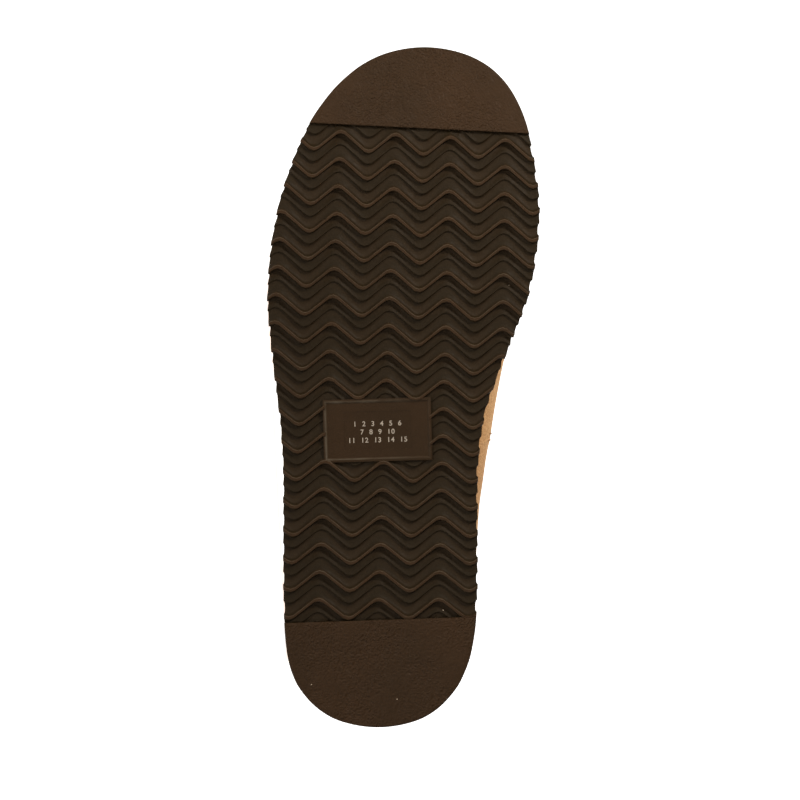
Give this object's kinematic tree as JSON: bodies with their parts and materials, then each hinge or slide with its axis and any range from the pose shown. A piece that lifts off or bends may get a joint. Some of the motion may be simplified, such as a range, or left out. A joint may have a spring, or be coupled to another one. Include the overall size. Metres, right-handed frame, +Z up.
{
  "type": "sheepskin slipper",
  "caption": "Closed-back suede slipper with a wool cuff and footbed on a moulded zigzag rubber sole, lying on its outer side.",
  "frame": {"origin": "centre of the bounding box's bottom face, on the floor that the slipper lies on", "axes": "+Z up; the toe points along -X, the sole faces -Y and the inner side of the foot is up"},
  "size_m": [0.2984, 0.107, 0.1219],
  "materials": {
    "sole_rubber": "matte",
    "suede": "matte",
    "cuff_wool": "matte",
    "footbed_wool": "matte"
  },
  "bodies": {
    "root": {"outsole": "sole_rubber", "insole": "footbed_wool", "upper": "suede", "wool_cuff": "cuff_wool"}
  },
  "joints": []
}
